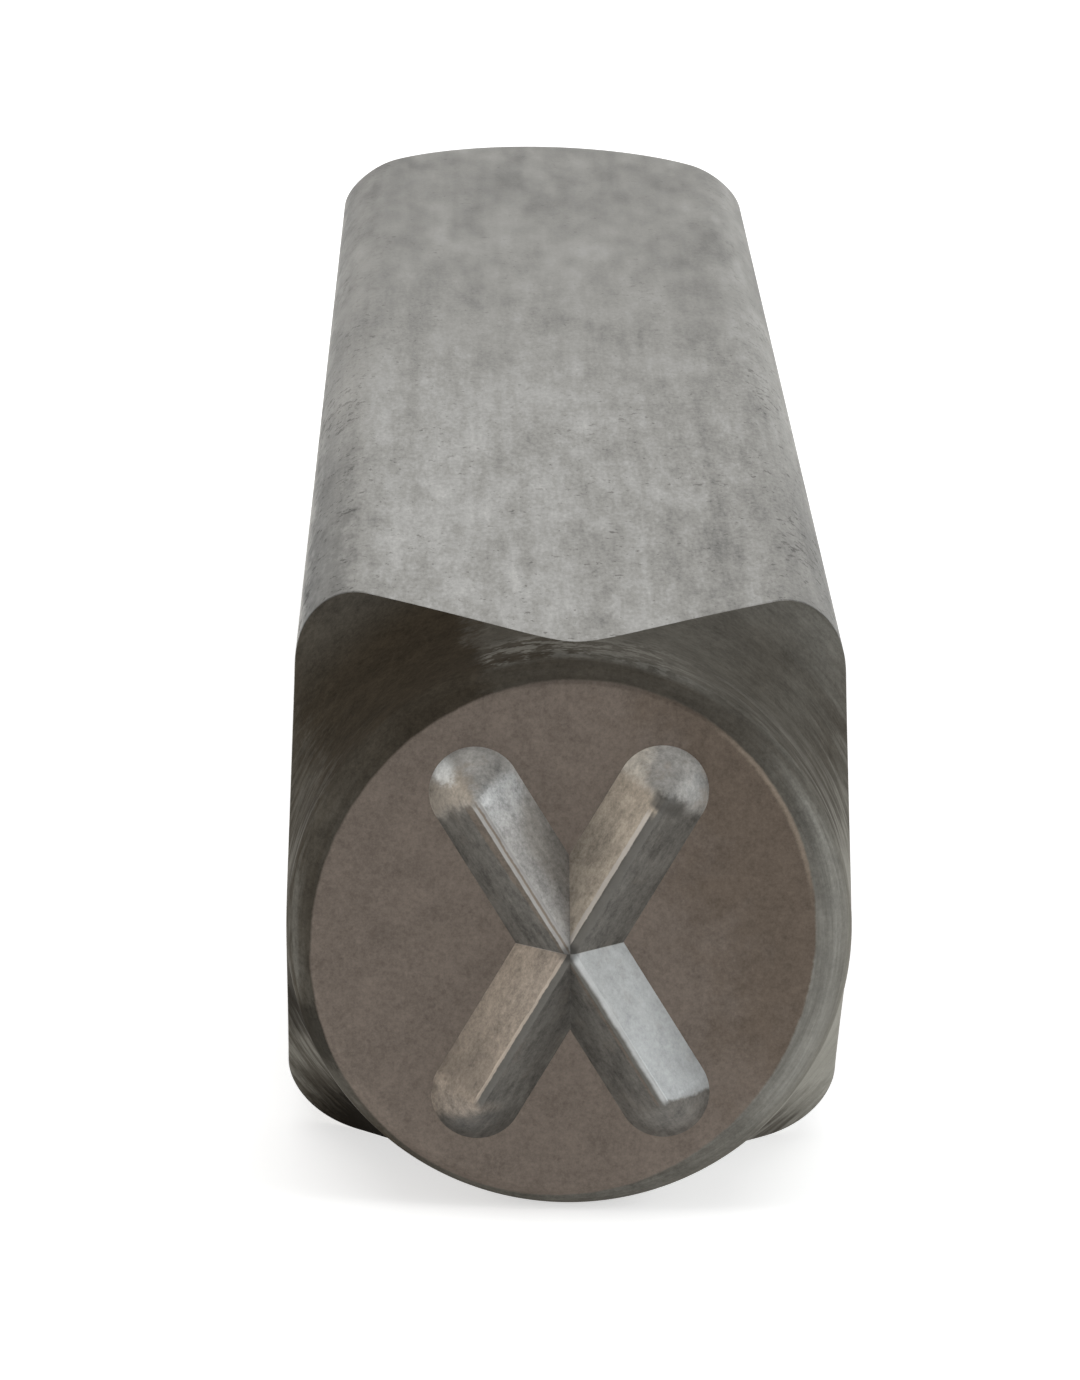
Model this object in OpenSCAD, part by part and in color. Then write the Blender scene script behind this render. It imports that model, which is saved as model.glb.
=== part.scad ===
// Hand letter stamp: a square steel bar with a turned nose, a raised letter on the nose's
// round face, and a crowned end for the hammer. The real tool is one piece of steel; each
// zone that a toolmaker finishes by itself is a solid of its own here, and the zones meet
// face to face on planes square to the bar.
// Millimetres, +Z up. The bar lies on one flat, its length along Y, the letter facing -Y.
// The origin is on the surface that it lies on, under the middle of its length.

/* [Bar] */
// Width of the bar across its flats
bar_w = 10; // [9:0.5:14]
// Radius of the bar's four long corners
corner_r = 1.3; // [0.6:0.1:2]
// Length from the letter's round face to the end that is struck
bar_l = 70; // [50:1:100]

/* [Turned nose] */
// How far the turned nose stands in from the bar's flats
nose_inset = 0.02; // [0.01:0.01:0.3]
// Width of the rounded edge around the face, measured across the face
edge_w = 0.46; // [0.3:0.02:0.6]
// Depth of that edge, measured along the bar, to where the flare begins
edge_l = 0.7; // [0.6:0.05:1.2]
// Radius of the hollow flare from the rounded edge out to the bar's corners
flare_r = 10.3; // [4:0.1:20]

/* [Letter] */
// Height of the letter between the centres of its stroke ends
letter_tall = 5.42; // [3:0.02:6]
// Width of the letter between the centres of its stroke ends
letter_wide = 3.28; // [2:0.02:4.8]
// How far the ridges stand out from the face
letter_h = 0.9; // [0.4:0.05:1.4]
// Width of a stroke where it meets the face
stroke_w = 1.62; // [1:0.02:2.2]
// Width of the narrow flat along a ridge's top
ridge_w = 0.14; // [0.06:0.02:0.5]
// Turn of the letter on the face, as it was set by hand
letter_turn = 1.5; // [-5:0.5:5]
// How far the letter's middle sits below the face's, as it was set by hand
letter_drop = 0.12; // [0:0.02:0.3]

/* [Struck end] */
// How far the edge of the flat that the hammer hits stands in from the bar's flats
strike_inset = 1; // [0.4:0.1:2.5]
// Length of the convex crown around that flat, where it runs out on the bar's corners
crown_run = 5.9; // [4:0.1:8]
// Radius of the crown's profile
crown_r = 14; // [9:0.5:24]

/* [Hidden] */
$fn = 96;

// Plain bar left behind the last turning mark on the corners, at each end
run_out = 0.4;
// Overlap of a cutting shape past the solid that it cuts
over = 1;

half_w = bar_w / 2;
corner_reach = sqrt(2) * (half_w - corner_r) + corner_r;
nose_r = half_w - nose_inset;
face_r = nose_r - edge_w;
// Radius of the rounded edge, which leaves the face at an angle and ends along the bar
edge_r = (edge_w * edge_w + edge_l * edge_l) / (2 * edge_w);
strike_r = half_w - strike_inset;

// Axial length over which a round profile of radius r leaves its tangent by the height h
function arc_run(r, h) = sqrt(r * r - (r - h) * (r - h));

flare_run = arc_run(flare_r, corner_reach - nose_r);
nose_l = edge_l + flare_run + run_out;

// The crown's profile is an arc from the edge of the struck flat to the bar's corners. Its points
// are radii from the bar's axis and distances from the struck end.
crown_start = [strike_r, 0];
crown_stop = [corner_reach, crown_run];
crown_chord = crown_stop - crown_start;
crown_inward = [-crown_chord.y, crown_chord.x] / norm(crown_chord);
crown_mid = (crown_start + crown_stop) / 2
    + crown_inward * sqrt(crown_r * crown_r - pow(norm(crown_chord) / 2, 2));
crown_l = crown_run + run_out;

// Places along the bar
face_y = (letter_h - bar_l) / 2;
strike_y = face_y + bar_l;
shank_y = face_y + nose_l;
crown_y = strike_y - crown_l;

bar_steel = [0.60, 0.60, 0.58];
turned_steel = [0.34, 0.33, 0.31];
letter_steel = [0.66, 0.66, 0.64];

// Puts a shape drawn around +Z onto the bar's axis, so that +Z runs along the bar from y
module along_bar(y) {
    translate([0, y, half_w]) rotate([-90, 0, 0]) children();
}

// The bar's section: a square with round corners
module bar_section() {
    inner = bar_w - 2 * corner_r;
    square([inner, bar_w], center = true);
    square([bar_w, inner], center = true);
    for (sx = [-1, 1], sy = [-1, 1])
        translate([sx * inner / 2, sy * inner / 2]) circle(r = corner_r);
}

// A stretch of plain bar of length l
module bar_stretch(l) {
    linear_extrude(height = l) bar_section();
}

// Half of the nose's turned profile: rounded edge and hollow flare
module nose_profile() {
    square([face_r, edge_l]);
    intersection() {
        square([nose_r, edge_l]);
        translate([nose_r - edge_r, edge_l]) circle(r = edge_r);
    }
    difference() {
        translate([0, edge_l]) square([corner_reach + over, nose_l - edge_l]);
        translate([nose_r + flare_r, edge_l]) circle(r = flare_r);
    }
}

// Half of the crown's turned profile, from the struck flat at 0 into the plain bar
module crown_profile() {
    intersection() {
        square([corner_reach, crown_run]);
        translate(crown_mid) circle(r = crown_r);
    }
    translate([0, crown_run]) square([corner_reach + over, run_out]);
}

// One stroke of the letter from a to b: a ridge with sloping flanks and cone ends
module stroke(a, b) {
    run = b - a;
    translate([a.x, a.y, 0]) rotate(atan2(run.y, run.x)) {
        rotate([90, 0, 90]) linear_extrude(height = norm(run))
            polygon([[-stroke_w / 2, 0], [stroke_w / 2, 0], [ridge_w / 2, letter_h], [-ridge_w / 2, letter_h]]);
        for (x = [0, norm(run)])
            translate([x, 0, 0]) cylinder(r1 = stroke_w / 2, r2 = ridge_w / 2, h = letter_h);
    }
}

module letter_x() {
    corner = [letter_wide / 2, letter_tall / 2];
    color(letter_steel)
        translate([0, face_y, half_w - letter_drop]) rotate([90, 0, 0]) rotate(letter_turn) {
            stroke(-corner, corner);
            stroke([-corner.x, corner.y], [corner.x, -corner.y]);
        }
}

module nose() {
    color(turned_steel)
        along_bar(face_y) intersection() {
            bar_stretch(nose_l);
            rotate_extrude() nose_profile();
        }
}

module shank() {
    color(bar_steel)
        along_bar(shank_y) bar_stretch(crown_y - shank_y);
}

module struck_end() {
    color(bar_steel)
        along_bar(crown_y) intersection() {
            bar_stretch(crown_l);
            translate([0, 0, crown_l]) mirror([0, 0, 1]) rotate_extrude() crown_profile();
        }
}

letter_x();
nose();
shank();
struck_end();
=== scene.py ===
"""The hand letter stamp, dressed: tumbled bar, turned nose, brown face, ground letter and struck end.

Sizes in the classes are in millimetres and Blender's meshes are in metres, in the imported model's frame:
+Z up, the bar lying along Y on one of its flats, the letter facing -Y.
"""

import logging
import math
from collections.abc import Callable, Sequence
from dataclasses import dataclass
from enum import Enum
from typing import Any, Union

import bmesh
import bpy
from mathutils import Matrix, Vector


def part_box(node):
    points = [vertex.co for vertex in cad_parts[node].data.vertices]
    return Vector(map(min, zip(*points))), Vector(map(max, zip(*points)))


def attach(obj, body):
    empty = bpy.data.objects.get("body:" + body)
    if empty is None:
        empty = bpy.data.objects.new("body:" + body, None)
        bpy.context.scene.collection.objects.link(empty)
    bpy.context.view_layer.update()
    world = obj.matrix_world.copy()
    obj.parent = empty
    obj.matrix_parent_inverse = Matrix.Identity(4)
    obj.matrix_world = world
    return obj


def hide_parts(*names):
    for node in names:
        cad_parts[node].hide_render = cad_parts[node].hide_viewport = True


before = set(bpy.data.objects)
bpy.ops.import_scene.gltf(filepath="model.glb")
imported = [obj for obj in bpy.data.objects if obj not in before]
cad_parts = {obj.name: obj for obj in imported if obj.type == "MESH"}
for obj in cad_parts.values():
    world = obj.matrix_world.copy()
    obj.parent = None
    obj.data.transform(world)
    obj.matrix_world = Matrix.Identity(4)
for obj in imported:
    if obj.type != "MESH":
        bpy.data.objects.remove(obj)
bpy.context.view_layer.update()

log = logging.getLogger("letter_stamp")

MM = 0.001
BODY = "root"
SPIN_STEPS = 512
MERGE_MM = 0.0002
SAME_MM = 0.002
SQUARE_NORMAL = 0.99999
CREASE_DEG = 38.0

Colour = tuple[float, float, float]
Point = tuple[float, float]
Input = Union[float, Sequence[float], "Value"]


class Slot(Enum):
    """The record's material slots."""

    LETTER = "letter"
    NOSE = "turned_nose"
    BAR = "bar"
    END = "bar_end"


class Part(Enum):
    """The parts of a mesh that can be picked in edit mode, and where bmesh keeps them."""

    VERT = "verts"
    EDGE = "edges"
    FACE = "faces"


@dataclass(frozen=True)
class Grain:
    """Noise in a finish: grains per millimetre across and along the bar, finer layers and their strength."""

    across: float
    along: float
    layers: float = 3.0
    rough: float = 0.7


class Value:
    """An output of a finish's node tree, with the arithmetic that adds Math nodes."""

    def __init__(self, graph: "Graph", socket: bpy.types.NodeSocket) -> None:
        """Keeps the tree and the socket that the value comes from."""
        self.graph = graph
        self.socket = socket

    def __add__(self, other: Input) -> "Value":
        """This value plus another."""
        return self.graph.math("ADD", self, other)

    def __radd__(self, other: Input) -> "Value":
        """Another value plus this one."""
        return self.graph.math("ADD", other, self)

    def __sub__(self, other: Input) -> "Value":
        """This value less another."""
        return self.graph.math("SUBTRACT", self, other)

    def __rsub__(self, other: Input) -> "Value":
        """Another value less this one."""
        return self.graph.math("SUBTRACT", other, self)

    def __mul__(self, other: Input) -> "Value":
        """This value times another."""
        return self.graph.math("MULTIPLY", self, other)

    def __rmul__(self, other: Input) -> "Value":
        """Another value times this one."""
        return self.graph.math("MULTIPLY", other, self)

    def __truediv__(self, other: Input) -> "Value":
        """This value divided by another."""
        return self.graph.math("DIVIDE", self, other)

    def __abs__(self) -> "Value":
        """This value without its sign."""
        return self.graph.math("ABSOLUTE", self)


class Made:
    """A node that was added, whose outputs are read by name or by number."""

    def __init__(self, graph: "Graph", node: bpy.types.Node) -> None:
        """Keeps the tree and the node."""
        self.graph = graph
        self.node = node

    def __getitem__(self, output: str | int) -> Value:
        """One output of the node."""
        return Value(self.graph, self.node.outputs[output])


class Graph:
    """A finish's node tree, and the ways to add to it."""

    def __init__(self, tree: bpy.types.NodeTree) -> None:
        """Empties a node tree.

        Args:
            tree: The tree.
        """
        self.tree = tree
        self.tree.nodes.clear()

    def node(self, kind: str, settings: dict[str, Any], inputs: dict[str | int, Input]) -> Made:
        """Adds any node.

        Args:
            kind: The node's type.
            settings: Its settings, which are set first. A ramp's stops are given as "stops".
            inputs: The values or links of its sockets, by name or number.

        Returns:
            The node.
        """
        made = self.tree.nodes.new(kind)
        for key, value in settings.items():
            if key == "stops":
                self._set_stops(made.color_ramp, value)
            else:
                setattr(made, key, value)
        for key, value in inputs.items():
            if isinstance(value, Value):
                self.tree.links.new(value.socket, made.inputs[key])
            elif isinstance(made.inputs[key], bpy.types.NodeSocketColor) and len(value) == 3:
                made.inputs[key].default_value = (*value, 1.0)
            else:
                made.inputs[key].default_value = value
        return Made(self, made)

    @staticmethod
    def _set_stops(ramp: bpy.types.ColorRamp, stops: Sequence[tuple[float, Colour]]) -> None:
        """Replaces a ramp's stops.

        Args:
            ramp: The ramp.
            stops: Places from 0 to 1, each with its colour.
        """
        while len(ramp.elements) < len(stops):
            ramp.elements.new(1.0)
        for element, (place, colour) in zip(ramp.elements, stops):
            element.position = place
            element.color = (*colour, 1.0)

    def math(self, operation: str, first: Input, second: Input = 0.0) -> Value:
        """Adds one Math node."""
        return self.node("ShaderNodeMath", {"operation": operation}, {0: first, 1: second})[0]

    def vector(self, operation: str, first: Input, inputs: dict[str | int, Input]) -> Value:
        """Adds one Vector Math node, with its other sockets by name or number."""
        return self.node("ShaderNodeVectorMath", {"operation": operation}, {0: first, **inputs})["Vector"]

    def millimetres(self) -> Value:
        """The Object coordinates in millimetres."""
        place = self.node("ShaderNodeTexCoord", {}, {})["Object"]
        return self.vector("SCALE", place, {"Scale": 1 / MM})

    def split(self, vector: Value) -> tuple[Value, Value, Value]:
        """The three parts of a vector."""
        parts = self.node("ShaderNodeSeparateXYZ", {}, {0: vector})
        return parts[0], parts[1], parts[2]

    def join(self, x: Input, y: Input, z: Input) -> Value:
        """A vector of three values."""
        return self.node("ShaderNodeCombineXYZ", {}, {0: x, 1: y, 2: z})[0]

    def length(self, across: Value, along: Value) -> Value:
        """The length of a vector of two values."""
        return self.math("SQRT", across * across + along * along)

    def noise_at(self, vector: Value, grain: Grain) -> Value:
        """Soft noise around 0, at a vector that is counted in grains."""
        inputs = {"Vector": vector, "Scale": 1.0, "Detail": grain.layers, "Roughness": grain.rough}
        return self.node("ShaderNodeTexNoise", {}, inputs)[0] - 0.5

    def noise(self, place: Value, grain: Grain) -> Value:
        """Soft noise around 0, at a place in millimetres."""
        scale = (grain.across, grain.along, grain.across)
        return self.noise_at(self.vector("MULTIPLY", place, {1: scale}), grain)

    def noises(self, place: Value, *grains: Grain) -> list[Value]:
        """Several soft noises around 0, at one place in millimetres."""
        return [self.noise(place, grain) for grain in grains]

    def rings(self, side: Value, rise: Value, ring: Value, grain: Grain) -> Value:
        """Soft noise around 0, drawn out in rings round the bar's axis.

        Args:
            side: How far the direction from the axis goes right.
            rise: How far it goes up.
            ring: The place along the turned profile.
            grain: The noise.

        Returns:
            The noise.
        """
        return self.noise_at(self.join(side * grain.across, rise * grain.across, ring * grain.along), grain)

    def step(self, value: Value, start: float, stop: float) -> Value:
        """A smooth rise from 0 to 1, turned round where stop is below start.

        Args:
            value: The value.
            start: Where it is 0.
            stop: Where it is 1.

        Returns:
            The rise.
        """
        low, high = sorted((start, stop))
        settings = {"interpolation_type": "SMOOTHSTEP"}
        rise = self.node("ShaderNodeMapRange", settings, {0: value, 1: low, 2: high})[0]
        return rise if start < stop else 1 - rise

    def mix(self, factor: Input, first: Input, second: Input) -> Value:
        """Mixes two colours, of which the second has a share of factor."""
        return self.node("ShaderNodeMix", {"data_type": "RGBA"}, {0: factor, 6: first, 7: second})[2]

    def tint(self, colour: Input, factor: Value) -> Value:
        """A colour made lighter or darker by a factor."""
        return self.vector("SCALE", colour, {"Scale": factor})

    def bump(self, height: Value, depth_mm: float) -> Value:
        """The normal that is bent by a height, of which 1 stands for a depth."""
        inputs = {"Height": height, "Strength": 1.0, "Distance": depth_mm * MM}
        return self.node("ShaderNodeBump", {}, inputs)["Normal"]

    def surface(self, inputs: dict[str | int, Input]) -> None:
        """Ends the tree in a Principled shader, with its sockets by name."""
        shader = self.node("ShaderNodeBsdfPrincipled", {}, inputs)
        self.node("ShaderNodeOutputMaterial", {}, {"Surface": shader[0]})


def turned(x: Value, z: Value, angle: float) -> tuple[Value, Value]:
    """Places along and across a direction.

    Args:
        x: Place across the bar.
        z: Place upwards.
        angle: The direction in radians, from +X towards +Z.

    Returns:
        The place along the direction, and the place across it.
    """
    along, across = math.cos(angle), math.sin(angle)
    return x * along + z * across, z * along - x * across


class Finish:
    """A surface finish, whose paint method fills a material's node tree."""

    def make(self) -> bpy.types.Material:
        """Builds the material.

        Returns:
            The material, named after the finish.
        """
        material = bpy.data.materials.new(type(self).__name__)
        material.use_nodes = True
        self.paint(Graph(material.node_tree))
        return material

    def paint(self, graph: Graph) -> None:
        """Fills the finish's node tree, which each finish does its own way."""
        raise NotImplementedError


@dataclass(frozen=True)
class BarSection:
    """The bar's section: a square with round corners, around an axis along Y."""

    width: float
    corner: float
    axis_z: float

    @property
    def half(self) -> float:
        """Half of the width across flats."""
        return self.width / 2

    @property
    def corner_reach(self) -> float:
        """Distance from the axis to the middle of a round corner."""
        return self.reach(math.pi / 4)

    def reach(self, angle: float) -> float:
        """Distance from the axis to the outline.

        Args:
            angle: Direction from the axis, in radians from +X towards +Z.

        Returns:
            The distance in millimetres.
        """
        low, high = sorted((abs(math.cos(angle)), abs(math.sin(angle))))
        inner = self.half - self.corner
        if low * self.half <= high * inner:
            return self.half / high
        along = inner * (low + high)
        return along + math.sqrt(along**2 - 2 * inner**2 + self.corner**2)

    def polar(self, place: Vector) -> tuple[float, float]:
        """Distance and direction of a mesh point from the axis.

        Args:
            place: The point in metres.

        Returns:
            The distance in millimetres and the angle in radians.
        """
        x = place.x / MM
        z = place.z / MM - self.axis_z
        return math.hypot(x, z), math.atan2(z, x)

    def place(self, distance: float, angle: float, y: float) -> Vector:
        """A mesh point from its distance and direction from the axis.

        Args:
            distance: Distance from the axis in millimetres.
            angle: Direction in radians.
            y: Place along the bar in millimetres.

        Returns:
            The point in metres.
        """
        return Vector((distance * math.cos(angle), y, self.axis_z + distance * math.sin(angle))) * MM


@dataclass(frozen=True, kw_only=True)
class Steel(Finish):
    """Dull steel: the shader's values that the stamp's finishes share."""

    roughness: float = 0.44
    metal: float = 0.5
    shine: float = 0.15
    grazing: Colour = (0.60, 0.60, 0.58)

    def coat(self, graph: Graph, colour: Value, roughness: Value, metal: Input, normal: Value) -> None:
        """Ends a finish's tree in the steel's shader.

        Args:
            graph: The tree.
            colour: The base colour.
            roughness: The roughness.
            metal: The share of metal.
            normal: The bent normal.
        """
        varied = {"Base Color": colour, "Roughness": roughness, "Metallic": metal, "Normal": normal}
        graph.surface({**varied, "Specular IOR Level": self.shine, "Specular Tint": self.grazing})


@dataclass(frozen=True, kw_only=True)
class TumbledSteel(Steel):
    """The bar's finish: matte warm grey, clouded, streaked along its length, darker along its rounded edges,
    with small dark pits, painted shade on its far end and on the right of its top flat, and a painted
    highlight on its left.
    """

    axis_z: float
    colour: Colour = (0.374, 0.364, 0.341)
    clean: Colour = (0.374, 0.369, 0.356)
    grime_from: Point = (3.7, 4.35)
    tarnish_from: Point = (-16.0, 22.0)
    relief: float = 0.010
    clouds: Grain = Grain(0.50, 0.10)
    mottle: Grain = Grain(1.70, 0.36, rough=0.9)
    soft: Grain = Grain(1.40, 0.28, layers=1.0, rough=0.5)
    lanes: Grain = Grain(1.10, 0.03, layers=2.0, rough=0.6)
    streaks: Grain = Grain(4.20, 0.24)
    fibres: Grain = Grain(13.0, 3.4, rough=0.8)
    crowds: Grain = Grain(0.70, 0.16)
    scuffs: Grain = Grain(1.60, 5.0)
    fine_pits: Grain = Grain(5.2, 2.6)
    large_pits: Grain = Grain(2.9, 1.5)

    def paint(self, graph: Graph) -> None:
        """Fills the finish's node tree.

        Args:
            graph: The tree.
        """
        place = graph.millimetres()
        x, y, z = graph.split(place)
        clouds, mottle, crowds = graph.noises(place, self.clouds, self.mottle, self.crowds)
        streaks, fibres = graph.noises(place, self.streaks, self.fibres)
        corner = graph.math("MINIMUM", abs(x), abs(z - self.axis_z))
        edge_band = graph.step(corner + mottle * 1.6 + clouds * 0.8, *self.grime_from)
        # Painted shade that darkens the far end of the bar, where the grain is also smoother
        far_shade = graph.step(y + clouds * 30, *self.tarnish_from)
        near = 1 - far_shade * 0.7

        fine = graph.noise(place, self.fine_pits) + crowds * 0.35 + edge_band * 0.05
        large = graph.noise(place, self.large_pits) + crowds * 0.30
        pits = graph.step(fine, 0.12, 0.21) * 0.8 * near + graph.step(large, 0.16, 0.26) * 0.5
        scuffs = graph.step(graph.noise(place, self.scuffs), 0.08, 0.25) * near

        tone = 1 + clouds * 1.15 + graph.noise(place, self.lanes) * 0.65 + mottle * (1.40 - far_shade * 0.6)
        tone = tone + graph.noise(place, self.soft) * 0.9 * far_shade + (streaks * 0.75 + fibres * 1.10) * near
        front = graph.step(y, 0.0, -27.0)
        # Painted shade along the right of the top flat, strongest at the front, and a painted highlight over
        # the middle and left of its front part
        shade = graph.step(x + clouds * 2, 1.2, 3.0) * (0.28 + front * 0.72)
        gleam = graph.step(x + clouds * 3, 2.0, -1.0) * graph.step(y, 2.0, -8.0)
        gleam = gleam * (1 - graph.step(x, -2.0, -3.6) * front)
        tone = tone - scuffs * 0.07 - shade * 0.19 + gleam * 0.10
        # Darker along the rounded long edges, most at the front and on the left, least on the right
        right = graph.step(x, -1.0, 1.0)
        rim = graph.step(abs(x), 4.3, 4.95)
        edge_darkening = 0.15 + front * 0.38 - right * 0.33 + rim * (0.31 - right * 0.01) + mottle * 0.9
        tone = tone * (1 - edge_band * edge_darkening) * (1 - far_shade * 0.225) * (1 - pits * 0.52)

        colour = graph.tint(graph.mix(graph.step(tone, 0.85, 1.20), self.colour, self.clean), tone)
        normal = graph.bump(fibres * 0.7 + streaks * 0.3 - pits * 0.6, self.relief)
        self.coat(graph, colour, self.roughness + mottle * 0.2 + pits * 0.15, self.metal, normal)


@dataclass(frozen=True, kw_only=True)
class TurnedCrown(Steel):
    """The struck end's finish: steel turned in fine rings, rubbed round the flat and dented on it."""

    axis_z: float
    flat_radius: float
    colour: Colour = (0.292, 0.284, 0.267)
    rubbed: Colour = (0.400, 0.394, 0.378)
    relief: float = 0.014
    least_distance: float = 0.05
    mottle: Grain = Grain(1.3, 1.3, layers=4.0, rough=0.8)
    grain: Grain = Grain(9.0, 9.0, rough=0.8)
    dents: Grain = Grain(1.8, 1.8, layers=2.0, rough=0.5)
    rings: Grain = Grain(1.0, 4.0, layers=4.0, rough=0.75)

    def paint(self, graph: Graph) -> None:
        """Fills the finish's node tree.

        Args:
            graph: The tree.
        """
        place = graph.millimetres()
        x, y, z = graph.split(place)
        up = z - self.axis_z
        distance = graph.math("MAXIMUM", graph.length(x, up), self.least_distance)
        mottle, grain = graph.noises(place, self.mottle, self.grain)
        rings = graph.rings(x / distance, up / distance, distance - y, self.rings)
        flat = graph.step(distance + mottle * 0.4, self.flat_radius + 0.1, self.flat_radius - 0.3)
        dents = graph.step(graph.noise(place, self.dents), 0.04, 0.16) * flat
        rim = graph.step(distance + mottle, self.flat_radius - 0.6, self.flat_radius)
        rim = rim * graph.step(distance + mottle, self.flat_radius + 0.7, self.flat_radius + 0.1)
        tone = 1 + rings * (1.1 - flat * 0.4) + mottle * 0.8 + grain * 0.7 - dents * 0.16
        colour = graph.tint(graph.mix(rim * 0.6 + flat * 0.3, self.colour, self.rubbed), tone)
        normal = graph.bump(rings * 0.6 + grain * 0.3 - dents * 0.9, self.relief)
        self.coat(graph, colour, self.roughness + mottle * 0.2 - flat * 0.06, self.metal, normal)


@dataclass(frozen=True, kw_only=True)
class HardenedNose(Steel):
    """The nose's finish: black scale over turned rings, rubbed to the steel by turns round the nose, which
    also stands for painted highlights where the rings face the lamps, with painted shade low on the left, and
    a brown film on the face.

    Each row of the table below is a place round the nose, as a share of a turn from the right upwards, then
    the share of pale steel on the flare, the share on the edge of the face, and how deep that edge goes. The
    pale steel is partly scale rubbed through and partly a painted highlight.
    """

    axis_z: float
    face_y: float
    scale: Colour = (0.0340, 0.0270, 0.0186)
    # The colour of steel rubbed through the scale, which also paints the highlights on the turned rings
    bare: Colour = (0.308, 0.305, 0.280)
    film: Colour = (0.166, 0.138, 0.117)
    film_dark: Colour = (0.124, 0.099, 0.079)
    rim: Colour = (0.270, 0.225, 0.180)
    roughness: float = 0.42
    metal: float = 0.9
    shine: float = 0.002
    grazing: Colour = (0.56, 0.54, 0.50)
    relief: float = 0.008
    film_middle: Point = (-0.114, -0.078)
    film_size: Point = (4.407, 4.695)
    film_tilt: float = -20.2
    blur: Grain = Grain(1.1, 1.1, layers=4.0, rough=0.65)
    mottle: Grain = Grain(1.6, 1.6, layers=5.0, rough=0.85)
    grain: Grain = Grain(12.0, 12.0, rough=0.8)
    specks: Grain = Grain(6.0, 6.0, layers=2.0, rough=0.5)
    rings: Grain = Grain(1.6, 5.0, layers=4.0, rough=0.75)
    scratches: Grain = Grain(12.0, 4.2)
    lines: Grain = Grain(3.2, 3.4, rough=0.6)
    wear: Sequence[tuple[float, float, float, float]] = (
        (0.000, 0.76, 0.50, 0.32), (0.030, 0.68, 0.48, 0.32), (0.055, 0.38, 0.40, 0.32),
        (0.085, 0.18, 0.28, 0.32), (0.117, 0.22, 0.17, 0.32), (0.139, 0.16, 0.12, 0.32),
        (0.175, 0.23, 0.12, 0.32), (0.212, 0.24, 0.10, 0.32), (0.255, 0.155, 0.08, 0.32),
        (0.301, 0.13, 0.08, 0.32), (0.310, 0.00, 0.03, 0.55), (0.350, 0.00, 0.03, 0.55),
        (0.405, 0.01, 0.08, 0.40), (0.430, 0.09, 0.11, 0.20), (0.476, 0.19, 0.08, 0.12),
        (0.525, 0.22, 0.11, 0.10), (0.560, 0.01, 0.15, 0.25), (0.597, 0.31, 0.17, 0.25),
        (0.635, 0.00, 0.10, 0.20), (0.710, 0.00, 0.26, 0.30), (0.760, 0.09, 0.32, 0.40),
        (0.800, 0.18, 0.34, 0.40), (0.861, 0.31, 0.36, 0.32), (0.893, 1.00, 0.58, 0.32),
        (0.950, 1.00, 0.54, 0.32), (1.000, 0.76, 0.50, 0.32),
    )

    def paint(self, graph: Graph) -> None:
        """Fills the finish's node tree.

        Args:
            graph: The tree.
        """
        place = graph.millimetres()
        x, y, z = graph.split(place)
        up, depth = z - self.axis_z, y - self.face_y
        distance = graph.length(x, up)
        side, rise = x / distance, up / distance
        blur, mottle, grain = graph.noises(place, self.blur, self.mottle, self.grain)

        # The brown film and its lit rim
        across, along = x - self.film_middle[0], up - self.film_middle[1]
        across, along = turned(across, along, math.radians(self.film_tilt))
        across, along = across / self.film_size[0], along / self.film_size[1]
        reach = graph.length(across, along) + mottle * 0.02
        film = graph.step(reach, 1.004, 0.992)
        warm = graph.step(across * 0.75 + along * 0.6 + blur * 0.9, 0.30, 0.75)
        brown = graph.mix(warm * 0.95, self.film, self.film_dark)
        lit = graph.step(reach, 0.972, 0.990) * graph.step(rise, 0.10, 0.40) * graph.step(side, 0.45, 0.75)
        brown = graph.mix(lit * 0.7, brown, self.rim)
        specks = graph.step(graph.noise(place, self.specks), 0.18, 0.28)
        sandy = 1 + across * 0.06 + blur * 0.25 + mottle * 0.95 + grain * 0.85
        brown = graph.tint(brown, sandy * (1 - specks * 0.20))

        # The share of bare steel round the nose, ragged along the rings: partly scale rubbed through and
        # partly painted highlights, most on the right, where the turned rings face the lamps
        ring = depth + distance
        rings = graph.rings(side, rise, ring, self.rings)
        scratches = graph.rings(side, rise, ring, self.scratches)
        lines = graph.rings(side, rise, ring, self.lines)
        ragged = blur * 0.030 + scratches * 0.030
        turn = graph.math("FRACT", graph.math("ARCTAN2", up, x) / math.tau + 1 + ragged)
        stops = [(start, shares) for start, *shares in self.wear]
        flare, lip, lip_depth = graph.split(graph.node("ShaderNodeValToRGB", {"stops": stops}, {0: turn})[0])

        # The flare, scratched where it faces up, its scratches lighter in a fan over the top and upper left
        # and its upper corners lighter, partly real scratches and partly painted highlight
        overhead = graph.step(rise, 0.30, 0.80)
        corner = graph.step(distance, 5.5, 6.3)
        near = graph.step(depth + blur * 0.4, 0.25, 0.55) * graph.step(depth + blur * 0.8, 2.3, 1.2)
        scratchy = (1 - graph.step(flare, 0.35, 0.65)) * (1 - overhead * (1 - near))
        fan = graph.step(turn, 0.185, 0.205) * overhead
        keen = 0.8 + graph.step(turn, 0.225, 0.275) * 0.9
        streaks = (graph.step(scratches, -0.05, 0.08) * 1.5 - 0.60) * keen * fan
        streaks = streaks + (graph.step(lines, -0.10, 0.12) - 0.45) * (1 - fan)
        wear = flare * (1 + streaks * scratchy + rings + near * overhead * 0.35) + corner * overhead * 0.12

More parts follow.
